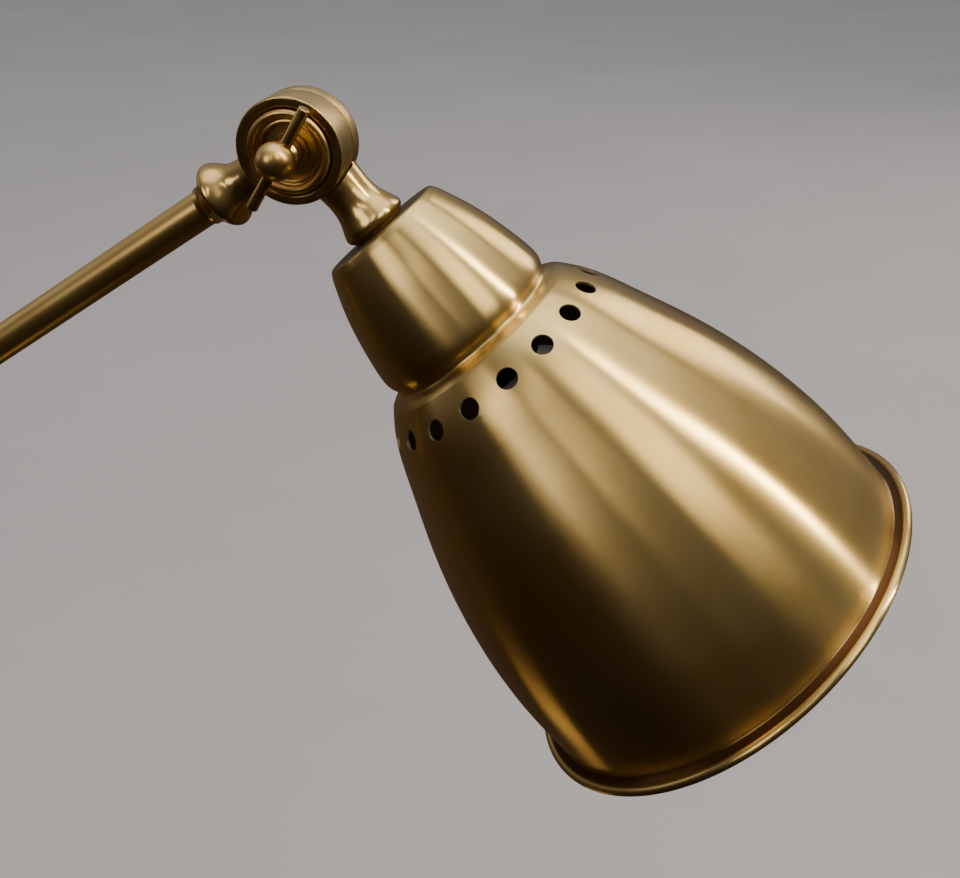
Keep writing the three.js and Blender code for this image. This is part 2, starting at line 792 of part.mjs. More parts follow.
const arm = new THREE.Group();
arm.position.z = lowerHingeHeight;
arm.rotation.y = -degrees(armElevation);
add(arm, "arm_lower_knuckle", frontKnuckle(armRadius, armFerruleWall), "brass");
const tubeStart = ferruleEnd - socketDepth;
const tube = ring(armRadius - tubeWall, armRadius, tubeStart, armLength - tubeStart, "x", 20);
add(arm, "arm_tube", tube, "brass");
const armFlexOffset = wireOffsetFront - 0.35; // the flex lies against the arm's side of the wire bore
const flexEnd = hubRadius + 3;
const armFlex = rod(flexRadius, flexEnd, armLength - flexEnd, "x", 8).translate([0, -armFlexOffset, 0]);
add(arm, "arm_flex", armFlex, "flex");
add(arm, "lower_cup_washer", cupWasher(), "brass");
add(arm, "lower_spring_washer", springWasher(), "steel");
const armTop = new THREE.Group(); // the knuckle at the arm's upper end is the same casting, turned round
armTop.position.x = armLength;
armTop.rotation.y = Math.PI;
add(armTop, "arm_upper_knuckle", frontKnuckle(armRadius, armFerruleWall), "brass");
add(armTop, "upper_cup_washer", cupWasher(), "brass");
add(armTop, "upper_spring_washer", springWasher(), "steel");
arm.add(armTop);
lamp.add(arm);

const upperHinge = new THREE.Vector3(
  armLength * Math.cos(degrees(armElevation)),
  0,
  lowerHingeHeight + armLength * Math.sin(degrees(armElevation)),
);
const head = new THREE.Group();
head.position.copy(upperHinge);
head.rotation.y = degrees(headDrop);
buildHead(head);
lamp.add(head);

// The two thumb screws stand the same way round in the stored pose.
for (const [name, place] of [
  ["lower", new THREE.Vector3(0, 0, lowerHingeHeight)],
  ["upper", upperHinge],
]) {
  const screw = new THREE.Group();
  screw.position.copy(place);
  screw.rotation.y = degrees(barLean);
  add(screw, name + "_thumb_screw", thumbScrew(), "brass");
  add(screw, name + "_cross_bar", crossBar(), "brass");
  lamp.add(screw);
}

export default lamp;
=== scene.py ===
"""The looks of an adjustable arm floor lamp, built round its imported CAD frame.

Profiles are lists of (radius, distance along the axis) in millimetres. All else is in metres.
"""
import json
import math

import bmesh
import bpy
import numpy as np
from mathutils import Matrix, Quaternion, Vector


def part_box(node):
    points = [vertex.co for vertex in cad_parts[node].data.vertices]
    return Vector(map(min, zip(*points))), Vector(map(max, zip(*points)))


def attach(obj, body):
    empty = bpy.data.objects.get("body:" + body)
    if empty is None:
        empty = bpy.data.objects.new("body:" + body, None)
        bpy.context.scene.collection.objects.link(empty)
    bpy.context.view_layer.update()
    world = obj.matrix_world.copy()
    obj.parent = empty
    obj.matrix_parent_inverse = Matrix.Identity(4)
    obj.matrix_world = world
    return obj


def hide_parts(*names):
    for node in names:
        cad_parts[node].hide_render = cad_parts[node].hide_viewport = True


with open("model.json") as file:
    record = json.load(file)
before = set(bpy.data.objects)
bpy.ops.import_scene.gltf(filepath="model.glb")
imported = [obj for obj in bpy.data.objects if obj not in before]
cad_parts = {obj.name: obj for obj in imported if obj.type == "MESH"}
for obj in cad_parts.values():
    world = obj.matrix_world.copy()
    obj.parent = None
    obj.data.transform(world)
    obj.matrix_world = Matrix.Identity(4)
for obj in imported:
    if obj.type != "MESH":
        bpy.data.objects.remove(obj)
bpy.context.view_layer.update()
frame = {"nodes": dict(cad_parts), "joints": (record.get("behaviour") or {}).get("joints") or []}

MM = 0.001

# -----------------------------------------------------------------------------------------------
# Sizes in millimetres, as in the CAD's source
# -----------------------------------------------------------------------------------------------
GAP = 0.3
POLE_RADIUS = 8
ARM_RADIUS = 6
TUBE_WALL = 1
TUBE_START = 29  # a tube's end, from the hinge axis
DRUM_RADIUS = 16.6
DRUM_FRONT = 12.6
DRUM_BACK = 8
DRUM_BACK_ROUNDING = 4.2
SEAM = 1
SEAM_GAP = 0.5
LAP_RADIUS = 17.2
HUB_RADIUS = 6.6
SPINDLE_RADIUS = 3
CUP_RADIUS = 13
CUP_SEAT = 4
FERRULE_BELL_AT = 33.5
FERRULE_END = 41
NECK_END = 35.1
BALL_RADIUS = 5.8
BALL_STAND_OFF = 23.2
BAR_RADIUS = 1.75
BAR_LENGTH = 36.4
BAR_OFFSET = 1.8
CUP_THICKNESS = 1.3
SPRING_THICKNESS = 1.2
ARM_FERRULE_WALL = 5.1
POLE_FERRULE_WALL = 3.6
THREAD_HOLE = 5.3  # round a threaded tube
SHADE_START = NECK_END + GAP
SHADE_WALL = 0.9
HOLDER_START = 40
HOLDER_CAP_LENGTH = 16
HOLDER_BODY_LENGTH = 27
HOLDER_RADIUS = 12.5
BULB_STAND_OFF = 1.3
BULB_HOUSING_LENGTH = 14
GLOBE_RADIUS = 22.5
GLOBE_NECK = 12.5
CUP_LENGTH = 43
VENT_AT = CUP_LENGTH + 11.2
VENT_RADIUS = 3.4
VENT_COUNT = 18
VENT_PHASE = 7.4
BELL_END = 175.3
BELL_END_RADIUS = 74.8
RIM_RADIUS = 80
BEAD_RADIUS = 1.5
RIM_AT = BELL_END + 3.1

# -----------------------------------------------------------------------------------------------
# Places, all from the frame
# -----------------------------------------------------------------------------------------------
joints = {joint["name"]: joint for joint in frame["joints"]}
LOWER = Vector(joints["arm_tilt"]["pos_m"])
UPPER = Vector(joints["head_tilt"]["pos_m"])


def centre(node):
    """The middle of a CAD node's box."""
    low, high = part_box(node)
    return (Vector(low) + Vector(high)) / 2


def facing(origin, direction):
    """A place with its X along a direction in the XZ plane. Its local Y is the hinges' +Y."""
    x = direction.normalized()
    y = Vector((0, 1, 0))
    z = x.cross(y)
    return Matrix.Translation(origin) @ Matrix((x, y, z)).transposed().to_4x4()


def bar_direction(node):
    """The way a cross bar leans, from the width and height of its box."""
    low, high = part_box(node)
    width, height = high[0] - low[0], high[2] - low[2]
    thickness = 2 * BAR_RADIUS / BAR_LENGTH
    return Vector((width - thickness * height, 0, height - thickness * width))


STAND = Matrix.Identity(4)
POLE_HINGE = facing(LOWER, Vector((0, 0, -1)))
ARM = facing(LOWER, UPPER - LOWER)
ARM_TOP = facing(UPPER, LOWER - UPPER)
HEAD = facing(UPPER, centre("bulb_cap") - UPPER)
LOWER_SCREW = facing(LOWER, bar_direction("lower_cross_bar"))
UPPER_SCREW = facing(UPPER, bar_direction("upper_cross_bar"))
ARM_LENGTH = (UPPER - LOWER).length / MM
POLE_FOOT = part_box("pole_tube")[0][2] / MM
POLE_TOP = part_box("pole_tube")[1][2] / MM
PAD_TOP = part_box("base_pad")[1][2] / MM
COVER_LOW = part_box("base_cover")[0][2] / MM
COVER_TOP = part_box("base_cover")[1][2] / MM
BASE_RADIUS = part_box("base_cover")[1][0] / MM
PAD_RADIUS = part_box("base_pad")[1][0] / MM
COLLAR_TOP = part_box("foot_collar")[1][2] / MM


# -----------------------------------------------------------------------------------------------
# Curves for profiles
# -----------------------------------------------------------------------------------------------
def spline(points, count):
    """A natural cubic spline through points, sampled evenly along its chord length."""
    knots = np.array(points, float)
    chord = np.concatenate([[0], np.cumsum(np.linalg.norm(np.diff(knots, axis=0), axis=1))])
    step = np.diff(chord)
    size = len(knots)
    system = np.eye(size)
    right = np.zeros((size, 2))
    for i in range(1, size - 1):
        system[i, i - 1 : i + 2] = step[i - 1], 2 * (step[i - 1] + step[i]), step[i]
        slope_after = (knots[i + 1] - knots[i]) / step[i]
        slope_before = (knots[i] - knots[i - 1]) / step[i - 1]
        right[i] = 6 * (slope_after - slope_before)
    bend = np.linalg.solve(system, right)
    made = []
    for at in np.linspace(0, chord[-1], count):
        i = min(int(np.searchsorted(chord, at, side="right")) - 1, size - 2)
        a, b, h = chord[i + 1] - at, at - chord[i], step[i]
        cubic = (bend[i] * a**3 + bend[i + 1] * b**3) / (6 * h)
        line = (knots[i] / h - bend[i] * h / 6) * a + (knots[i + 1] / h - bend[i + 1] * h / 6) * b
        made.append(tuple(cubic + line))
    return made


def arc(centre_radius, centre_along, radius, start, end, steps=10):
    """Points on an arc, from one angle to another in degrees."""
    made = []
    for a in np.radians(np.linspace(start, end, steps + 1)):
        made.append((centre_radius + radius * math.cos(a), centre_along + radius * math.sin(a)))
    return made


def rounded(corners, steps=5):
    """A polyline whose corners (radius, along, fillet) are rounded where a fillet is given."""
    made = []
    for i, corner in enumerate(corners):
        here = Vector(corner[:2])
        fillet = corner[2] if len(corner) > 2 else 0
        if not fillet or i in (0, len(corners) - 1):
            made.append(tuple(here))
            continue
        before = (Vector(corners[i - 1][:2]) - here).normalized()
        after = (Vector(corners[i + 1][:2]) - here).normalized()
        half = before.angle(after) / 2
        reach = fillet / math.tan(half)
        middle = here + (before + after).normalized() * fillet / math.sin(half)
        first = here + before * reach - middle
        last = here + after * reach - middle
        turn = first.angle_signed(last)
        for k in range(steps + 1):
            spoke = first.copy()
            spoke.rotate(Matrix.Rotation(-turn * k / steps, 2))
            made.append(tuple(middle + spoke))
    return made


# -----------------------------------------------------------------------------------------------
# Mesh work
# -----------------------------------------------------------------------------------------------
ON_AXIS = 1e-6
AXES = {
    "X": lambda r, along, c, s: (along, r * c, r * s),
    "Y": lambda r, along, c, s: (r * s, along, r * c),
    "Z": lambda r, along, c, s: (r * c, r * s, along),
}


def turned(name, profile, axis="Z", sides=128):
    """A turned piece, swept round its local axis.

    The profile starts and ends on the axis. One that stays off the axis is closed on itself.
    """
    closed = min(profile[0][0], profile[-1][0]) > ON_AXIS
    mesh = bpy.data.meshes.new(name)
    shape = bmesh.new()
    place = AXES[axis]
    rings = []
    for radius, along in profile:
        if radius < ON_AXIS:
            rings.append([shape.verts.new(Vector(place(0, along, 1, 0)) * MM)] * sides)
            continue
        ring = []
        for k in range(sides):
            a = 2 * math.pi * k / sides
            point = place(radius, along, math.cos(a), math.sin(a))
            ring.append(shape.verts.new(Vector(point) * MM))
        rings.append(ring)
    following = rings[1:] + rings[:1] if closed else rings[1:]
    for one, two in zip(rings, following):
        for k in range(sides):
            corners = [one[k], one[(k + 1) % sides], two[(k + 1) % sides], two[k]]
            distinct = list(dict.fromkeys(corners))
            if len(distinct) > 2:
                shape.faces.new(distinct)
    bmesh.ops.recalc_face_normals(shape, faces=shape.faces)
    shape.to_mesh(mesh)
    shape.free()
    piece = bpy.data.objects.new(name, mesh)
    bpy.context.scene.collection.objects.link(piece)
    return piece


def rod(name, radius, start, end, axis="Z", sides=64):
    """A plain cylinder."""
    return turned(name, [(0, start), (radius, start), (radius, end), (0, end)], axis, sides)


def tube(name, inner, outer, start, end, axis="Z", sides=96, edge=0.2):
    """A tube with broken outer edges."""
    corners = [(inner, start), (outer, start, edge), (outer, end, edge), (inner, end)]
    return turned(name, rounded(corners, steps=3), axis, sides)


def combine(piece, other, operation):
    """Joins or cuts piece with other, and removes other."""
    change = piece.modifiers.new(operation, "BOOLEAN")
    change.operation = operation
    change.solver = "EXACT"
    change.object = other
    evaluated = piece.evaluated_get(bpy.context.evaluated_depsgraph_get())
    mesh = bpy.data.meshes.new_from_object(evaluated)
    piece.modifiers.clear()
    piece.data = mesh
    bpy.data.objects.remove(other)
    return piece


def soften(piece, degrees=32):
    """Smooth shading that keeps edges sharper than an angle."""
    piece.data.shade_smooth()
    piece.data.set_sharp_from_angle(angle=math.radians(degrees))


def seat(piece, place, body, material, slot, *nodes):
    """Puts a finished piece in place on its body, as the stand-in for CAD nodes."""
    soften(piece)
    piece.matrix_world = place
    piece.data.materials.clear()
    piece.data.materials.append(material)
    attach(piece, body)
    if nodes:
        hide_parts(*nodes)
    return piece


# -----------------------------------------------------------------------------------------------
# Materials
# -----------------------------------------------------------------------------------------------
def set_range(node, low, high, to_low, to_high):
    """Sets a map range node's limits."""
    node.inputs["From Min"].default_value = low
    node.inputs["From Max"].default_value = high
    node.inputs["To Min"].default_value = to_low
    node.inputs["To Max"].default_value = to_high


def set_stops(node, stops):
    """Sets a colour ramp's (position, colour) stops."""
    elements = node.color_ramp.elements
    while len(elements) < len(stops):
        elements.new(0.5)
    for element, (at, colour) in zip(elements, stops):
        element.position = at
        element.color = (*colour, 1)


def feed(tree, socket, value):
    """Links or sets an input, whichever the value is for."""
    if isinstance(value, bpy.types.NodeSocket):
        tree.links.new(value, socket)
    elif isinstance(value, tuple):
        socket.default_value = (*value, 1)
    else:
        socket.default_value = value


class Nodes:
    """Short calls for building one material's nodes."""

    def __init__(self, name):
        self.material = bpy.data.materials.new(name)
        self.material.use_nodes = True
        self.tree = self.material.node_tree
        self.shader = self.tree.nodes["Principled BSDF"]
        self.place = self.add("ShaderNodeTexCoord").outputs["Object"]

    def add(self, kind, **values):
        node = self.tree.nodes.new(kind)
        for key, value in values.items():
            if key in node.inputs:
                node.inputs[key].default_value = value
            else:
                setattr(node, key, value)
        return node

    def link(self, source, target):
        self.tree.links.new(source, target)

    def set(self, **values):
        for key, value in values.items():
            self.shader.inputs[key.replace("_", " ")].default_value = value

    def noise(self, vector, scale, detail=3.0, roughness=0.5):
        node = self.add("ShaderNodeTexNoise", Scale=scale, Detail=detail, Roughness=roughness)
        self.link(vector, node.inputs["Vector"])
        return node.outputs["Fac"]

    def remap(self, value, low, high, to_low, to_high):
        node = self.add("ShaderNodeMapRange")
        set_range(node, low, high, to_low, to_high)
        self.link(value, node.inputs["Value"])
        return node.outputs["Result"]

    def ramp(self, value, *stops):
        node = self.add("ShaderNodeValToRGB")
        set_stops(node, stops)
        self.link(value, node.inputs["Fac"])
        return node.outputs["Color"]

    def mix(self, factor, first, second):
        """A colour mix. Its factor and two colours are inputs 0, 6 and 7."""
        node = self.add("ShaderNodeMix", data_type="RGBA", blend_type="MIX")
        for index, value in ((0, factor), (6, first), (7, second)):
            feed(self.tree, node.inputs[index], value)
        return node.outputs[2]

    def math(self, operation, first, second):
        node = self.add("ShaderNodeMath", operation=operation)
        feed(self.tree, node.inputs[0], first)
        feed(self.tree, node.inputs[1], second)
        return node.outputs[0]

    def bump(self, *layers):
        """Bump from (height, distance in metres) layers."""
        normal = None
        for height, distance in layers:
            node = self.add("ShaderNodeBump", Strength=1.0, Distance=distance)
            self.link(height, node.inputs["Height"])
            if normal:
                self.link(normal, node.inputs["Normal"])
            normal = node.outputs["Normal"]
        self.link(normal, self.shader.inputs["Normal"])

    def flange_painted_shade_mask(self):
        """One over the shade's flange, where dark brown painted shade stands in for the corner's
        dim reflection, and 0 elsewhere.
        """
        parts = self.add("ShaderNodeSeparateXYZ")
        self.link(self.place, parts.inputs[0])
        flat = self.add("ShaderNodeCombineXYZ")
        self.link(parts.outputs["Y"], flat.inputs["Y"])
        self.link(parts.outputs["Z"], flat.inputs["Z"])
        radius = self.add("ShaderNodeVectorMath", operation="LENGTH")
        self.link(flat.outputs[0], radius.inputs[0])
        start, stop = BELL_END_RADIUS * MM, (RIM_RADIUS - 2.6) * MM
        rise = self.remap(radius.outputs["Value"], start, start + 0.0004, 0, 1)
        fall = self.remap(radius.outputs["Value"], stop, stop + 0.0005, 1, 0)
        return self.math("MULTIPLY", rise, fall)

    def colour(self, value, low, high):
        """The base colour, between two tones."""
        self.link(self.ramp(value, (0.3, low), (0.7, high)), self.shader.inputs["Base Color"])

    def rough(self, value, low, high):
        """The roughness, between two values."""
        self.link(self.remap(value, 0.3, 0.7, low, high), self.shader.inputs["Roughness"])

    def round_axis(self, axis, around, along):
        """A vector that changes slowly round a local axis and fast along it, for brushed lines."""
        parts = self.add("ShaderNodeSeparateXYZ")
        self.link(self.place, parts.inputs[0])
        flat = self.add("ShaderNodeCombineXYZ")
        for name in "XYZ":
            if name != axis:
                self.link(parts.outputs[name], flat.inputs[name])
        unit = self.add("ShaderNodeVectorMath", operation="NORMALIZE")
        self.link(flat.outputs[0], unit.inputs[0])
        scaled = self.add("ShaderNodeVectorMath", operation="SCALE", Scale=around)
        self.link(unit.outputs[0], scaled.inputs[0])
        run = self.add("ShaderNodeCombineXYZ")
        self.link(self.math("MULTIPLY", parts.outputs[axis], along), run.inputs[axis])
        total = self.add("ShaderNodeVectorMath", operation="ADD")
        self.link(scaled.outputs[0], total.inputs[0])
        self.link(run.outputs[0], total.inputs[1])
        return total.outputs[0]


BRASS = (0.72, 0.51, 0.19)
BRASS_WARM = (0.67, 0.43, 0.13)
BRASS_DULL = (0.48, 0.33, 0.12)
BRASS_LIGHT = (0.74, 0.55, 0.23)
# Dark brown painted shade for the lampshade's flange, in place of the dim reflection in its corner.
FLANGE_PAINTED_SHADE = (0.1, 0.042, 0.014)
TARNISH = (0.3, 0.19, 0.08)


def satin_brass(name, axis, roughness=0.235, anisotropy=0.92, flange=False):
    """Spun brass brushed round its axis: fine lines, cloudy tone and small dull marks."""
    n = Nodes(name)
    n.set(Metallic=1.0, Anisotropic=anisotropy, Anisotropic_Rotation=0.25)
    lines = n.noise(n.round_axis(axis, 0.5, 3600), 1.0, 2.0, 0.6)
    bands = n.noise(n.round_axis(axis, 0.6, 160), 1.0, 3.0)
    clouds = n.noise(n.place, 22, 4.0, 0.6)
    spots = n.noise(n.place, 420, 2.0, 0.5)
    tone = n.ramp(clouds, (0.3, BRASS_WARM), (0.55, BRASS), (0.8, BRASS_LIGHT))
    tone = n.mix(n.remap(lines, 0.3, 0.7, 0.0, 0.12), tone, BRASS_DULL)
    tone = n.mix(n.remap(spots, 0.66, 0.76, 0.0, 0.3), tone, BRASS_DULL)
    # Painted shade: the flange darkened to brown, for the dim reflection of the bell in its corner.
    if flange:
        tone = n.mix(n.flange_painted_shade_mask(), tone, FLANGE_PAINTED_SHADE)
    n.link(tone, n.shader.inputs["Base Color"])
    fine = n.remap(lines, 0.25, 0.75, roughness - 0.005, roughness + 0.005)
    rough = n.math("ADD", fine, n.remap(clouds, 0.3, 0.7, -0.012, 0.018))
    n.link(rough, n.shader.inputs["Roughness"])
    tangent = n.add("ShaderNodeTangent", direction_type="RADIAL", axis=axis)
    n.link(tangent.outputs[0], n.shader.inputs["Tangent"])
    n.bump((lines, 0.0000003), (bands, 0.0000007))
    return n.material


def polished_brass(name, axis, roughness=0.16, warm=(0.6, 0.37, 0.12), light=(0.68, 0.47, 0.18)):
    """Turned and polished brass: faint tool lines, handling haze and darker tarnish."""
    n = Nodes(name)
    n.set(Metallic=1.0)
    lines = n.noise(n.round_axis(axis, 1.0, 3800), 1.0, 3.0, 0.6)
    haze = n.noise(n.place, 90, 4.0, 0.6)
    tarnish = n.noise(n.place, 260, 3.0, 0.6)
    tone = n.ramp(haze, (0.3, warm), (0.6, light))
    tone = n.mix(n.remap(tarnish, 0.6, 0.75, 0.0, 0.45), tone, TARNISH)
    n.link(tone, n.shader.inputs["Base Color"])
    cloudy = n.remap(haze, 0.3, 0.7, roughness - 0.04, roughness + 0.06)
    rough = n.math("ADD", cloudy, n.remap(lines, 0.3, 0.7, -0.02, 0.03))
    n.link(rough, n.shader.inputs["Roughness"])
    n.bump((lines, 0.000003), (haze, 0.00002))
    return n.material


def raw_edge():
    """Bright freshly cut brass at the vents' edges."""
    n = Nodes("raw_brass_edge")
    n.set(Metallic=1.0)
    grain = n.noise(n.place, 1800, 2.0)
    n.colour(grain, (0.75, 0.6, 0.36), (0.9, 0.76, 0.5))
    n.rough(grain, 0.32, 0.5)
    return n.material


def lampshade_inside_painted_shadow():
    """The inside of the lampshade, painted dull dark brown as painted shadow, since little light
    gets in.
    """
    n = Nodes("lampshade_inside_painted_shadow")
    n.set(Metallic=0.8)
    clouds = n.noise(n.place, 30, 4.0, 0.6)
    lines = n.noise(n.round_axis("X", 0.8, 1800), 1.0, 3.0)
    n.colour(clouds, (0.07, 0.05, 0.03), (0.13, 0.09, 0.05))
    n.rough(lines, 0.45, 0.6)
    n.bump((lines, 0.00001))
    return n.material


def steel(name, tone=0.62):
    """Zinc plated steel."""
    n = Nodes(name)
    n.set(Metallic=1.0)
    grain = n.noise(n.place, 700, 3.0)
    clouds = n.noise(n.place, 120, 3.0)
    dull = (tone * 0.75, tone * 0.75, tone * 0.76)
    n.colour(clouds, dull, (tone, tone, tone * 1.03))
    n.rough(grain, 0.22, 0.42)
    n.bump((grain, 0.00001))
    return n.material


def cast_iron():
    """The base's rough blackened weight."""
    n = Nodes("blackened_cast_iron")
    n.set(Metallic=0.6)
    grain = n.noise(n.place, 900, 4.0, 0.7)
    clouds = n.noise(n.place, 60, 3.0)
    n.colour(clouds, (0.02, 0.02, 0.022), (0.05, 0.048, 0.048))
    n.rough(grain, 0.6, 0.85)
    n.bump((grain, 0.0002))
    return n.material


def felt():
    """The fibrous pad, a little dusty."""
    n = Nodes("black_felt")
    n.set(Sheen_Weight=0.4, Sheen_Roughness=0.6)
    fibres = n.noise(n.place, 1500, 5.0, 0.75)
    clouds = n.noise(n.place, 70, 3.0)
    tone = n.ramp(fibres, (0.3, (0.012, 0.012, 0.013)), (0.7, (0.05, 0.05, 0.052)))
    tone = n.mix(n.remap(clouds, 0.4, 0.7, 0.0, 0.25), tone, (0.07, 0.065, 0.06))
    n.link(tone, n.shader.inputs["Base Color"])
    n.rough(fibres, 0.85, 1.0)
    n.bump((fibres, 0.0004))
    return n.material


def plain_solid(name, low, high, roughness, scale=400, bump=0.00003, shine=0.5):
    """A moulded or pressed material with a fine grain between two tones."""
    n = Nodes(name)
    n.set(Specular_IOR_Level=shine)
    grain = n.noise(n.place, scale, 4.0, 0.6)
    clouds = n.noise(n.place, scale * 0.1, 3.0)
    tone = n.mix(n.remap(clouds, 0.4, 0.7, 0.0, 0.4), n.ramp(grain, (0.3, low), (0.7, high)), low)
    n.link(tone, n.shader.inputs["Base Color"])
    n.rough(grain, roughness - 0.06, roughness + 0.08)
    n.bump((grain, bump))
    return n.material


def opal():
    """The bulb's opal diffuser."""
    n = Nodes("opal_diffuser")
    n.set(Subsurface_Weight=0.3, Subsurface_Scale=0.01)
    clouds = n.noise(n.place, 60, 3.0)
    n.colour(clouds, (0.56, 0.54, 0.49), (0.64, 0.62, 0.57))
    n.rough(clouds, 0.35, 0.5)
    return n.material


SATIN = satin_brass("satin_brass_shade", "X", flange=True)
SATIN_BASE = satin_brass("satin_brass_base", "Z", roughness=0.3, anisotropy=0.6)
TUBE_ALONG_X = satin_brass("brass_tube_arm", "X", roughness=0.34, anisotropy=0.5)
TUBE_ALONG_Z = satin_brass("brass_tube_pole", "Z", roughness=0.34, anisotropy=0.5)
POLISHED_X = polished_brass("polished_brass_stem", "X", roughness=0.18)
POLISHED_Y = polished_brass("polished_brass_hinge", "Y", roughness=0.3)
POLISHED_Z = polished_brass("polished_brass_foot", "Z", roughness=0.2)
RAW = raw_edge()
INSIDE_PAINTED_SHADOW = lampshade_inside_painted_shadow()
STEEL = steel("zinc_steel")
CAP_METAL = steel("bulb_cap_nickel", tone=0.7)
IRON = cast_iron()
FELT = felt()
FIBRE = plain_solid("pressed_fibre", (0.05, 0.03, 0.02), (0.1, 0.07, 0.045), 0.8)
BLACK = plain_solid("black_thermoset", (0.012, 0.012, 0.013), (0.03, 0.03, 0.032), 0.38)
FLEX = plain_solid("flex_insulation", (0.7, 0.68, 0.62), (0.8, 0.78, 0.72), 0.5)
# Painted shadow: the bulb's housing is near black and barely shiny, so the vents show dark like the
# unlit inside of the lampshade.
HOUSING_PAINTED_SHADOW = plain_solid("bulb_housing_painted_shadow", (0.008,) * 3, (0.014,) * 3, 0.85, shine=0.05)
OPAL = opal()
DRUM_SKIN = polished_brass("satin_brass_drum", "Y", 0.37, (0.47, 0.33, 0.14), (0.54, 0.4, 0.19))


# -----------------------------------------------------------------------------------------------
# Hinges
# -----------------------------------------------------------------------------------------------
def ferrule_line(tube_radius, wall):
    """A ferrule's outline, from inside its drum to the tube."""
    bell = tube_radius + wall
    tail = tube_radius + GAP + 0.4
    curve = spline(
        [
            (6.7, 21.5),
            (6.9, 24.3),
            (7.5, 27.0),
            (bell - 2.1, FERRULE_BELL_AT - 4.0),
            (bell - 0.9, FERRULE_BELL_AT - 2.3),
            (bell - 0.15, FERRULE_BELL_AT - 0.8),
            (bell, FERRULE_BELL_AT + 0.1),
            (bell - 0.3, FERRULE_BELL_AT + 0.9),
            ((3 * bell + tail) / 4, FERRULE_BELL_AT + 1.8),
            ((bell + tail) / 2, FERRULE_BELL_AT + 2.9),
            ((bell + 3 * tail) / 4, FERRULE_BELL_AT + 4.2),
            (tail + 0.25, FERRULE_BELL_AT + 5.8),
            (tail, FERRULE_END),
        ],
        44,
    )
    return [(0, 0), (7.5, 0), (7.4, 12), *curve, (tube_radius + 0.1, FERRULE_END), (0, FERRULE_END)]


def neck_line():
    """The neck's outline: a waist that flares to a thin foot on the shade."""
    curve = spline(
        [
            (7.75, 20.3),
            (8.05, 24),
            (9.0, 27.3),
            (10.3, 30.2),
            (10.8, 31.7),
            (10.85, 32.6),
            (10.5, 33.5),
            (9.6, 34.4),
            (9.2, NECK_END),
        ],
        40,
    )
    return [(0, 0), (8.7, 0), (8.4, 12), *curve, (0, NECK_END)]


def front_drum():
    """The front half: a seat for the cup washer inside a flat ring."""
    face = SEAM + SEAM_GAP / 2
    return turned(
        "front_drum",
        rounded(
            [
                (0, -face),
                (DRUM_RADIUS - 0.4, -face, 0.1),
                (DRUM_RADIUS, -face - 0.4, 0.1),
                (DRUM_RADIUS, -DRUM_FRONT, 0.55),
                (CUP_RADIUS + 0.9, -DRUM_FRONT, 0.3),
                (CUP_RADIUS + GAP, -DRUM_FRONT + 0.9, 0.2),
                (CUP_RADIUS + GAP, -DRUM_FRONT + CUP_SEAT),
                (0, -DRUM_FRONT + CUP_SEAT),
            ]
        ),
        "Y",
    )


def rear_drum():
    """The rear half, with its rounded back and the seat of its cap."""
    face = -SEAM + SEAM_GAP / 2
    rounding = DRUM_BACK_ROUNDING
    profile = [
        (0, face),
        (DRUM_RADIUS - 0.5, face),
        (DRUM_RADIUS - 0.15, face + 0.12),
        (DRUM_RADIUS, face + 0.5),
        *arc(DRUM_RADIUS - rounding, DRUM_BACK - rounding, rounding, 0, 84, 14),
        (HUB_RADIUS + 0.9, DRUM_BACK),
        (HUB_RADIUS + GAP, DRUM_BACK - 0.5),
        (HUB_RADIUS + GAP, DRUM_BACK - 1),
        (0, DRUM_BACK - 1),
    ]
    return turned("rear_drum", profile, "Y")


def knuckle(name, drum, line, lap_from, lap_to):
    """A half drum joined to its stem, which is lapped away for the other half."""
    stem = turned(name, line, "X", sides=112)
    combine(stem, rod("lap", LAP_RADIUS, lap_from, lap_to, "Y", sides=160), "DIFFERENCE")
    return combine(stem, drum, "UNION")


def seat_knuckle(piece, place, body, node):
    """Seats a knuckle that is polished but for its drum's satin rim."""
    seat(piece, place, body, POLISHED_X, "brass", node)
    piece.data.materials.append(DRUM_SKIN)
    for face in piece.data.polygons:
        on_drum = math.hypot(face.center.x, face.center.z) < (DRUM_RADIUS + 0.1) * MM
        if on_drum and face.normal.y > -0.6:
            face.material_index = 1


def front_knuckle(name):
    """An end of the arm: the front half drum and its ferrule."""
    line = ferrule_line(ARM_RADIUS, ARM_FERRULE_WALL)
    return knuckle(name, front_drum(), line, -SEAM - SEAM_GAP / 2, LAP_RADIUS)


def rear_knuckle(name, line):
    """The other side of a hinge: the rear half drum and a stem."""
    return knuckle(name, rear_drum(), line, -LAP_RADIUS, -SEAM + SEAM_GAP / 2)


def cup_washer(name):
    """The dished washer: a rolled lip, a second fine ridge and a flat floor."""
    back = -DRUM_FRONT + CUP_SEAT - GAP
    floor = back - CUP_THICKNESS
    lip = arc(11.7, -DRUM_FRONT, 1.3, 0, -180, 16)
    dish = [
        (10.25, -DRUM_FRONT + 0.55),
        (9.95, -DRUM_FRONT + 0.7),
        (9.6, -DRUM_FRONT + 0.45),
        (9.2, -DRUM_FRONT + 0.35),
        (8.8, -DRUM_FRONT + 0.6),
        (8.5, -DRUM_FRONT + 1.3),
        (8.2, floor - 0.3),
        (7.9, floor),
    ]
    bore = SPINDLE_RADIUS + GAP
    return turned(name, [(bore, back), (CUP_RADIUS, back), *lip, *dish, (bore, floor)], "Y")


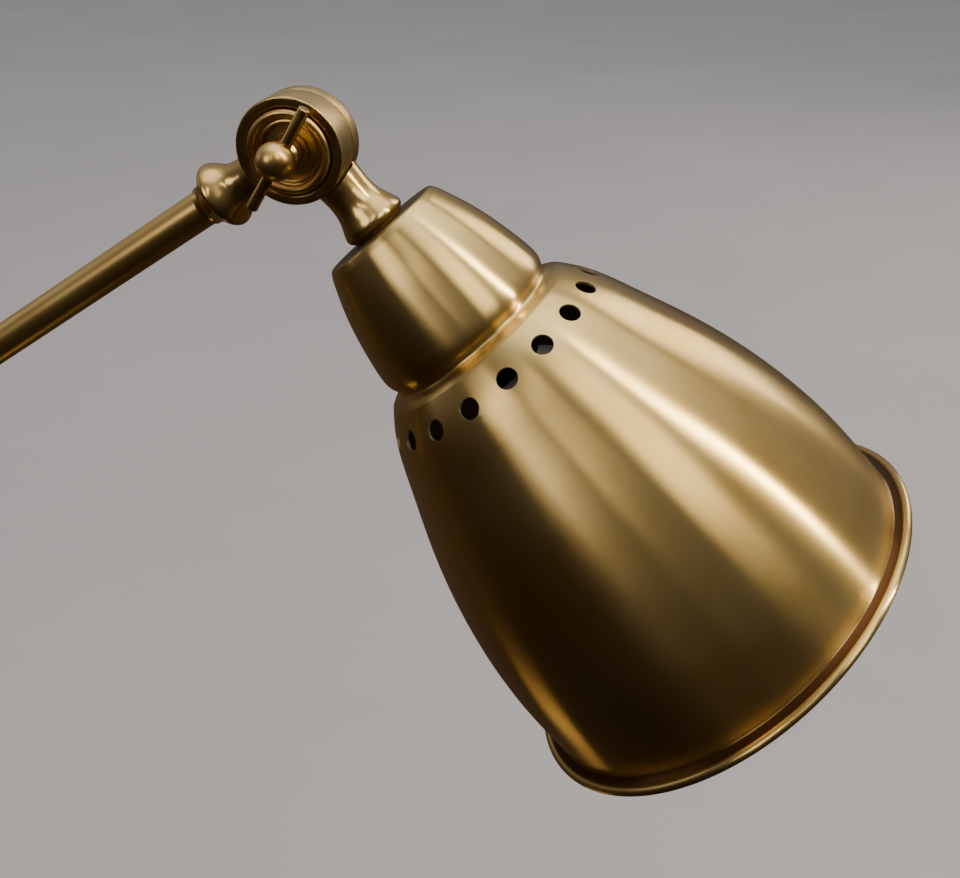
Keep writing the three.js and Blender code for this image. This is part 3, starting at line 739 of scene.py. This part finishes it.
def thumb_screw(name):
    """The ball head, bored for its bar, with a waisted shank and collar."""
    washer = -DRUM_FRONT + CUP_SEAT - GAP - CUP_THICKNESS - SPRING_THICKNESS - GAP
    shank = 3.2
    ball_edge = math.degrees(math.acos(shank / BALL_RADIUS))
    ball = arc(0, -BALL_STAND_OFF, BALL_RADIUS, -90, ball_edge, 40)
    ball[0] = (0, ball[0][1])
    rest = rounded(
        [
            ball[-1],
            (shank, washer - 5.4, 0.5),
            (4.2, washer - 4, 0.4),
            (4.2, washer - GAP, 0.2),
            (SPINDLE_RADIUS, washer - GAP),
            (SPINDLE_RADIUS, DRUM_BACK - 1.1),
            (0, DRUM_BACK - 1.1),
        ]
    )
    body = turned(name, ball + rest[1:], "Y", sides=96)
    bore = rod("bore", BAR_RADIUS + 0.12, -BALL_RADIUS - 1, BALL_RADIUS + 1, "X", sides=48)
    bore.data.transform(Matrix.Translation((0, (BAR_OFFSET - BALL_STAND_OFF) * MM, 0)))
    return combine(body, bore, "DIFFERENCE")


def cross_bar(name):
    """The cross bar along local X, with chamfered ends."""
    half = BAR_LENGTH / 2
    line = rounded(
        [
            (0, -half),
            (BAR_RADIUS, -half, 0.35),
            (BAR_RADIUS, half, 0.35),
            (0, half),
        ]
    )
    bar = turned(name, line, "X", sides=64)
    bar.data.transform(Matrix.Translation((0, (BAR_OFFSET - BALL_STAND_OFF) * MM, 0)))
    return bar


def back_cap(name):
    """The low dome in the back of a hinge."""
    inside = DRUM_BACK - 1 + GAP
    dome = spline(
        [
            (HUB_RADIUS, DRUM_BACK - 0.1),
            (HUB_RADIUS - 0.5, DRUM_BACK + 0.35),
            (HUB_RADIUS - 2.6, DRUM_BACK + 1.05),
            (2, DRUM_BACK + 1.4),
            (0, DRUM_BACK + 1.5),
        ],
        20,
    )
    dome[-1] = (0, DRUM_BACK + 1.5)
    return turned(name, [(0, inside), (HUB_RADIUS, inside), *dome], "Y", sides=96)


def build_hinge(side, screw_body, washer_place, rear_place, rear_body, screw_place):
    """The pieces that both hinges share."""
    cup = side + "_cup_washer"
    seat(cup_washer(cup + "_fine"), washer_place, "arm", POLISHED_Y, "brass", cup)
    cap = side + "_back_cap"
    seat(back_cap(cap + "_fine"), rear_place, rear_body, POLISHED_Y, "brass", cap)
    screw = side + "_thumb_screw"
    seat(thumb_screw(screw + "_fine"), screw_place, screw_body, POLISHED_Y, "brass", screw)
    bar = side + "_cross_bar"
    seat(cross_bar(bar + "_fine"), screw_place, screw_body, POLISHED_X, "brass", bar)


def build_arm():
    """The arm's tube between its two knuckles."""
    seat_knuckle(front_knuckle("arm_lower_knuckle_fine"), ARM, "arm", "arm_lower_knuckle")
    seat_knuckle(front_knuckle("arm_upper_knuckle_fine"), ARM_TOP, "arm", "arm_upper_knuckle")
    inner = ARM_RADIUS - TUBE_WALL
    piece = tube("arm_tube_fine", inner, ARM_RADIUS, TUBE_START, ARM_LENGTH - TUBE_START, "X")
    seat(piece, ARM, "arm", TUBE_ALONG_X, "brass", "arm_tube")


# -----------------------------------------------------------------------------------------------
# Head
# -----------------------------------------------------------------------------------------------
def shade_line():
    """The shade's outer line, from the cup's flat top to the end of the bell."""
    top = rounded([(THREAD_HOLE, 0), (20.9, 0, 1.6), (22.4, 2.3)], steps=8)
    cup = spline(
        [
            (22.5, 2.5),
            (24.9, 8),
            (27.9, 16),
            (30.2, 24.3),
            (31.9, 32),
            (32.65, 36.6),
            (32.8, 38.8),
            (32.5, 40.8),
            (31.9, 42.4),
            (31.55, 43.3),
        ],
        32,
    )
    groove = spline([(31.5, 43.5), (31.7, 44.3), (32.9, 45.1), (34.9, 45.9), (36.6, 46.9)], 16)
    bell = spline(
        [
            (36.7, 47.0),
            (41.6, 53.2),
            (50.2, 70),
            (58.5, 89),
            (65.7, 109),
            (71.2, 131),
            (74.2, 153),
            (BELL_END_RADIUS, BELL_END),
        ],
        52,
    )
    line = top + cup + groove[1:] + bell
    return [(radius, along + SHADE_START) for radius, along in line]


def inset(line, by):
    """The same line moved in by the wall's thickness."""
    made = []
    for i, (radius, along) in enumerate(line):
        run = Vector(line[min(i + 1, len(line) - 1)]) - Vector(line[max(i - 1, 0)])
        run.normalize()
        made.append((radius - by * run.y, max(along + by * run.x, SHADE_START + by)))
    return made


def vent_cutter(name, wall_radius, lean, angle):
    """One vent's cutter: a hole with a fine countersunk edge, square to the wall."""
    line = [
        (0, -3),
        (VENT_RADIUS, -3),
        (VENT_RADIUS, -0.12),
        (VENT_RADIUS + 0.42, 0.3),
        (VENT_RADIUS + 0.42, 3),
        (0, 3),
    ]
    cutter = turned(name, line, "Z", sides=40)
    place = Matrix.Rotation(angle, 4, "X")
    place = place @ Matrix.Translation(((VENT_AT + SHADE_START) * MM, 0, wall_radius * MM))
    place = place @ Matrix.Rotation(-lean, 4, "Y")
    cutter.data.transform(place)
    return cutter


def build_shade():
    """The spun shade: both walls, a flange with its rolled bead, and the ring of vents."""
    line = shade_line()
    rim_at = RIM_AT + SHADE_START
    end = BELL_END + SHADE_START
    flange = rounded(
        [
            (BELL_END_RADIUS, end - 0.5),
            (BELL_END_RADIUS + 0.2, end + 0.7, 0.6),
            (RIM_RADIUS - 3.3, end + 1.7),
        ]
    )
    bead = arc(RIM_RADIUS - BEAD_RADIUS, rim_at, BEAD_RADIUS, -130, 150, 22)
    underside = [
        (RIM_RADIUS - 3.9, end + 2.9),
        (BELL_END_RADIUS + 0.3, end + 2.2),
        (BELL_END_RADIUS - SHADE_WALL, end + 0.9),
    ]
    inner = inset(line, SHADE_WALL)[::-1]
    shade = turned("shade_fine", line[:-1] + flange + bead + underside + inner, "X", sides=256)
    radii = [radius for radius, _ in line]
    alongs = [along for _, along in line]
    at = VENT_AT + SHADE_START
    near, here, far = np.interp([at - VENT_RADIUS, at, at + VENT_RADIUS], alongs, radii)
    lean = math.atan2(far - near, 2 * VENT_RADIUS)
    angles = [math.radians(VENT_PHASE + 360 / VENT_COUNT * i) for i in range(VENT_COUNT)]
    cutters = [vent_cutter(f"vent_{i}", here, lean, angle) for i, angle in enumerate(angles)]
    joined = bmesh.new()
    for cutter in cutters:
        joined.from_mesh(cutter.data)
    joined.to_mesh(cutters[0].data)
    joined.free()
    for cutter in cutters[1:]:
        bpy.data.objects.remove(cutter)
    combine(shade, cutters[0], "DIFFERENCE")
    seat(shade, HEAD, "head", SATIN, "shade_brass", "shade")
    shade.data.materials.append(RAW)
    shade.data.materials.append(INSIDE_PAINTED_SHADOW)
    paint_shade(shade, line, lean, here)


def paint_shade(shade, line, lean, wall_radius):
    """Gives the vents' cut faces their own material, and the inner wall its material painted dark
    as shadow.
    """
    alongs = np.array([along for _, along in line])
    radii = np.array([radius for radius, _ in line])
    out = Vector((-math.sin(lean), 0, math.cos(lean)))
    for face in shade.data.polygons:
        x, y, z = Vector(face.center) / MM
        radius = math.hypot(y, z)
        radial = Vector((0, y, z)).normalized()
        outward = face.normal.dot(Vector((out.x, out.z * radial.y, out.z * radial.z)))
        wall = np.interp(x, alongs, radii)
        ring = abs(x - VENT_AT - SHADE_START) < VENT_RADIUS + 1 and abs(radius - wall_radius) < 5
        if ring and abs(outward) < 0.85 and radius > wall - SHADE_WALL * 1.6:
            face.material_index = 1
        elif x < BELL_END + SHADE_START and face.normal.dot(radial) < 0.2 and radius < wall - 0.4:
            face.material_index = 2


def build_bulb():
    """The lampholder and the bulb, seen from below."""
    start = HOLDER_START
    cap_end = start + HOLDER_CAP_LENGTH
    cap = rounded(
        [
            (THREAD_HOLE, start),
            (8, start, 0.4),
            (11.5, start + 3, 1.5),
            (13.5, start + 7, 1.5),
            (13.5, cap_end - 2.5, 0.3),
            (13.1, cap_end - 2.2, 0.2),
            (13.1, cap_end - 1.6, 0.2),
            (13.5, cap_end - 1.3, 0.2),
            (13.5, cap_end, 0.3),
            (THREAD_HOLE, cap_end),
        ]
    )
    seat(turned("holder_cap_fine", cap, "X"), HEAD, "head", BLACK, "plastic", "holder_cap")
    body_start = cap_end + GAP
    body_end = body_start + HOLDER_BODY_LENGTH
    side = HOLDER_RADIUS
    ribs = []
    for i in range(6):
        at = body_start + 4 + 3 * i
        ribs += [(side, at), (side - 0.4, at + 0.4), (side - 0.4, at + 1), (side, at + 1.4)]
    body = [(0, body_start), (side - 0.3, body_start), (side, body_start + 0.3), *ribs]
    body += rounded(
        [
            (side, body_end - 4),
            (side, body_end - 3),
            (side + 1.6, body_end - 3, 0.5),
            (side + 1.6, body_end, 0.6),
            (8, body_end, 0.4),
            (8, body_start + 3),
            (0, body_start + 3),
        ]
    )
    seat(turned("holder_body_fine", body, "X"), HEAD, "head", BLACK, "plastic", "holder_body")
    housing_start = body_end + BULB_STAND_OFF
    housing_end = housing_start + BULB_HOUSING_LENGTH
    flare = spline(
        [
            (6.7, housing_start),
            (7.4, housing_start + 3),
            (10.2, housing_start + 8),
            (12.6, housing_end - 2),
            (13, housing_end),
        ],
        30,
    )
    housing = turned("bulb_housing_fine", [(0, housing_start), *flare, (0, housing_end)], "X")
    # The housing takes the near black painted-shadow material.
    seat(housing, HEAD, "head", HOUSING_PAINTED_SHADOW, "bulb_housing", "bulb_housing")
    globe_centre = (centre("bulb_globe") - UPPER).length / MM
    depth = math.sqrt(GLOBE_RADIUS**2 - GLOBE_NECK**2)
    lowest = math.degrees(math.asin(-depth / GLOBE_RADIUS))
    line = arc(0, globe_centre + 0.1, GLOBE_RADIUS, lowest, 90, 60)
    line[-1] = (0, line[-1][1])
    globe = turned("bulb_globe_fine", [(0, line[0][1]), *line], "X")
    seat(globe, HEAD, "head", OPAL, "bulb_globe", "bulb_globe")


def build_head():
    """Everything that tilts with the shade."""
    seat_knuckle(rear_knuckle("head_knuckle_fine", neck_line()), HEAD, "head", "head_knuckle")
    build_shade()
    build_bulb()


# -----------------------------------------------------------------------------------------------
# Stand
# -----------------------------------------------------------------------------------------------
def build_base():
    """The spun cover over the weight, the felt pad and the cord's gland."""
    top = COVER_TOP
    r = BASE_RADIUS
    outer = rounded(
        [
            (r - 1.2, COVER_LOW),
            (r, COVER_LOW, 0.4),
            (r, COVER_LOW + 13.6, 3.6),
            (88, top - 11.2, 40),
            (64.6, top - 7.6, 1.4),
            (62.2, top - 4.6, 1.2),
            (30, top - 0.9, 30),
            (20, top, 4),
            (THREAD_HOLE, top),
        ],
        steps=10,
    )
    inner = [
        (THREAD_HOLE, top - 1.2),
        (22, top - 1.3),
        (61, top - 5.8),
        (63.4, top - 8.8),
        (88, top - 12.4),
        (r - 5, COVER_LOW + 12),
        (r - 1.2, COVER_LOW + 9),
    ]
    cover = turned("base_cover_fine", outer + inner, "Z", sides=256)
    low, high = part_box("cord_gland")
    height = (low[2] + high[2]) / 2 / MM
    hole = rod("gland_hole", 4.3, -r - 3, -r + 8, "X", sides=48)
    hole.data.transform(Matrix.Translation((0, 0, height * MM)))
    combine(cover, hole, "DIFFERENCE")
    seat(cover, STAND, "stand", SATIN_BASE, "brass", "base_cover")
    pad = rounded([(0, 0), (PAD_RADIUS, 0, 0.8), (PAD_RADIUS, PAD_TOP, 0.5), (0, PAD_TOP)])
    seat(turned("base_pad_fine", pad, "Z", sides=192), STAND, "stand", FELT, "felt", "base_pad")
    out = low[0] / MM
    gland = rounded(
        [
            (2.8, out, 0.4),
            (5, out, 0.7),
            (5, -r - GAP, 0.1),
            (4, -r - GAP),
            (4, out + 9, 0.3),
            (2.8, out + 9),
        ]
    )
    piece = turned("cord_gland_fine", gland, "X", sides=64)
    piece.data.transform(Matrix.Translation((0, 0, height * MM)))
    seat(piece, STAND, "stand", BLACK, "plastic", "cord_gland")


def build_pole():
    """The pole between its turned foot collar and its knuckle."""
    bottom = COVER_TOP + GAP
    side = spline(
        [
            (16.6, bottom + 3.2),
            (14.8, bottom + 6),
            (12.6, bottom + 9.6),
            (11.4, bottom + 13.4),
            (11.7, bottom + 17),
            (12.1, bottom + 19.4),
            (11.4, bottom + 22.2),
            (10.2, COLLAR_TOP),
        ],
        50,
    )
    foot = rounded([(8.3, bottom), (17, bottom, 0.6), (17, bottom + 3, 0.6), (16.6, bottom + 3.2)])
    collar = turned("foot_collar_fine", foot[:-1] + side + [(8.3, COLLAR_TOP)], "Z")
    seat(collar, STAND, "stand", POLISHED_Z, "brass", "foot_collar")
    pole = tube("pole_tube_fine", POLE_RADIUS - TUBE_WALL, POLE_RADIUS, POLE_FOOT, POLE_TOP)
    seat(pole, STAND, "stand", TUBE_ALONG_Z, "brass", "pole_tube")
    line = ferrule_line(POLE_RADIUS, POLE_FERRULE_WALL)
    seat_knuckle(rear_knuckle("pole_knuckle_fine", line), POLE_HINGE, "stand", "pole_knuckle")


def dress_hidden_nodes():
    """The CAD pieces that stay get their own materials."""
    finishes = {
        STEEL: [
            "foot_threaded_tube",
            "foot_nut",
            "foot_washer",
            "pole_bush",
            "lower_clamp_nut",
            "neck_nipple",
            "upper_clamp_nut",
            "nipple_nut",
        ],
        POLISHED_Y: ["lower_spring_washer", "upper_spring_washer"],
        IRON: ["base_weight"],
        FIBRE: ["lower_friction_washer", "upper_friction_washer"],
        FLEX: ["pole_flex", "arm_flex", "head_flex"],
        POLISHED_X: ["holder_screw_shell", "holder_centre_contact"],
        CAP_METAL: ["bulb_cap"],
    }
    for material, nodes in finishes.items():
        for node in nodes:
            data = frame["nodes"][node].data
            data.materials.clear()
            data.materials.append(material)


# -----------------------------------------------------------------------------------------------
# Stage
# -----------------------------------------------------------------------------------------------
FLOOR_HALF = 30
HEADING, PITCH, ROLL = (math.radians(a) for a in (-6.78, -25.78, 1.58))
LENS = 38.41
SHIFT = (-0.0781, -0.0929)
CAMERA_FROM_HINGE = Vector((0.1168, -0.3028, 0.0824))


def build_floor():
    """A wide pale floor that the brass doesn't mirror."""
    mesh = bpy.data.meshes.new("floor")
    corners = [(FLOOR_HALF * x, FLOOR_HALF * y, 0) for x, y in ((-1, -1), (1, -1), (1, 1), (-1, 1))]
    mesh.from_pydata(corners, [], [(0, 1, 2, 3)])
    floor = bpy.data.objects.new("floor", mesh)
    bpy.context.scene.collection.objects.link(floor)
    n = Nodes("pale_floor")
    clouds = n.noise(n.place, 1.5, 4.0, 0.6)
    n.colour(clouds, (0.4, 0.383, 0.402), (0.43, 0.412, 0.432))
    n.set(Roughness=0.9, Specular_IOR_Level=0.1)
    mesh.materials.append(n.material)
    floor.visible_glossy = False


def aim(obj, azimuth, elevation, distance, target):
    """Places a light at an azimuth, 0 towards -Y and 90 towards +X, facing the target."""
    a, e = math.radians(azimuth), math.radians(elevation)
    away = Vector((math.sin(a) * math.cos(e), -math.cos(a) * math.cos(e), math.sin(e)))
    obj.location = target + away * distance
    obj.rotation_mode = "QUATERNION"
    obj.rotation_quaternion = away.to_track_quat("Z", "Y")


def area_light(name, azimuth, elevation, distance, size, power, colour, target, lean=0):
    """A soft rectangular light. lean turns it about its own facing, in degrees."""
    data = bpy.data.lights.new(name, "AREA")
    data.shape = "RECTANGLE"
    data.size, data.size_y = size
    data.energy = power
    data.color = colour
    light = bpy.data.objects.new(name, data)
    bpy.context.scene.collection.objects.link(light)
    aim(light, azimuth, elevation, distance, target)
    light.rotation_quaternion @= Quaternion((0, 0, 1), math.radians(lean))


def build_lights():
    """Soft strips: a narrow bright one to the right, wide ones behind and in front, one above."""
    target = centre("shade")
    area_light("key", 84, 42, 4.0, (0.24, 3.4), 92, (1.0, 0.92, 0.68), target, lean=14)
    area_light("rear", 150, 30, 4.4, (1.5, 2.6), 42, (1.0, 0.92, 0.76), target)
    area_light("front", 42, 48, 4.4, (1.5, 2.4), 36, (1.0, 0.9, 0.68), target, lean=8)
    area_light("front_left", -6, 44, 4.6, (0.5, 2.0), 11, (1.0, 0.91, 0.74), target)
    area_light("left", -32, 28, 5.0, (1.9, 2.2), 36, (1.0, 0.92, 0.82), target)
    area_light("far_left", -95, 12, 5.0, (1.8, 1.6), 4, (1.0, 0.98, 0.96), target)
    area_light("top", 170, 82, 7.0, (7.0, 7.0), 130, (0.98, 0.98, 1.0), target)


def build_world():
    """Soft studio surroundings: pale above and behind, dim in front and dark below."""
    world = bpy.data.worlds.new("studio")
    bpy.context.scene.world = world
    world.use_nodes = True
    tree = world.node_tree
    background = tree.nodes["Background"]
    place = tree.nodes.new("ShaderNodeTexCoord")
    parts = tree.nodes.new("ShaderNodeSeparateXYZ")
    ramp = tree.nodes.new("ShaderNodeValToRGB")
    height = tree.nodes.new("ShaderNodeMapRange")
    set_range(height, -1, 1, 0, 1)
    behind = tree.nodes.new("ShaderNodeMapRange")
    behind.interpolation_type = "SMOOTHSTEP"
    set_range(behind, -0.6, 0.5, 0.4, 1.3)
    set_stops(
        ramp,
        [
            (0.0, (0.03, 0.02, 0.013)),
            (0.42, (0.07, 0.052, 0.038)),
            (0.56, (0.17, 0.16, 0.15)),
            (0.84, (0.36, 0.35, 0.35)),
            (1.0, (1.3, 1.28, 1.3)),
        ],
    )
    tree.links.new(place.outputs["Generated"], parts.inputs[0])
    tree.links.new(parts.outputs["Z"], height.inputs["Value"])
    tree.links.new(parts.outputs["Y"], behind.inputs["Value"])
    tree.links.new(height.outputs["Result"], ramp.inputs["Fac"])
    tree.links.new(ramp.outputs["Color"], background.inputs["Color"])
    tree.links.new(behind.outputs["Result"], background.inputs["Strength"])


def build_camera():
    """The camera stands in front of the upper hinge, looking down along the head."""
    data = bpy.data.cameras.new("camera")
    data.sensor_width = 36
    data.lens = LENS
    data.shift_x, data.shift_y = SHIFT
    data.clip_start = 0.01
    camera = bpy.data.objects.new("camera", data)
    bpy.context.scene.collection.objects.link(camera)
    turn = Matrix.Rotation(-HEADING, 4, "Z")
    turn = turn @ Matrix.Rotation(math.radians(90) + PITCH, 4, "X") @ Matrix.Rotation(ROLL, 4, "Z")
    camera.matrix_world = Matrix.Translation(UPPER + CAMERA_FROM_HINGE) @ turn
    bpy.context.scene.camera = camera


build_base()
build_pole()
build_arm()
build_hinge("lower", "lower_screw", ARM, POLE_HINGE, "stand", LOWER_SCREW)
build_hinge("upper", "upper_screw", ARM_TOP, HEAD, "head", UPPER_SCREW)
build_head()
dress_hidden_nodes()
build_floor()
build_world()
build_lights()
build_camera()
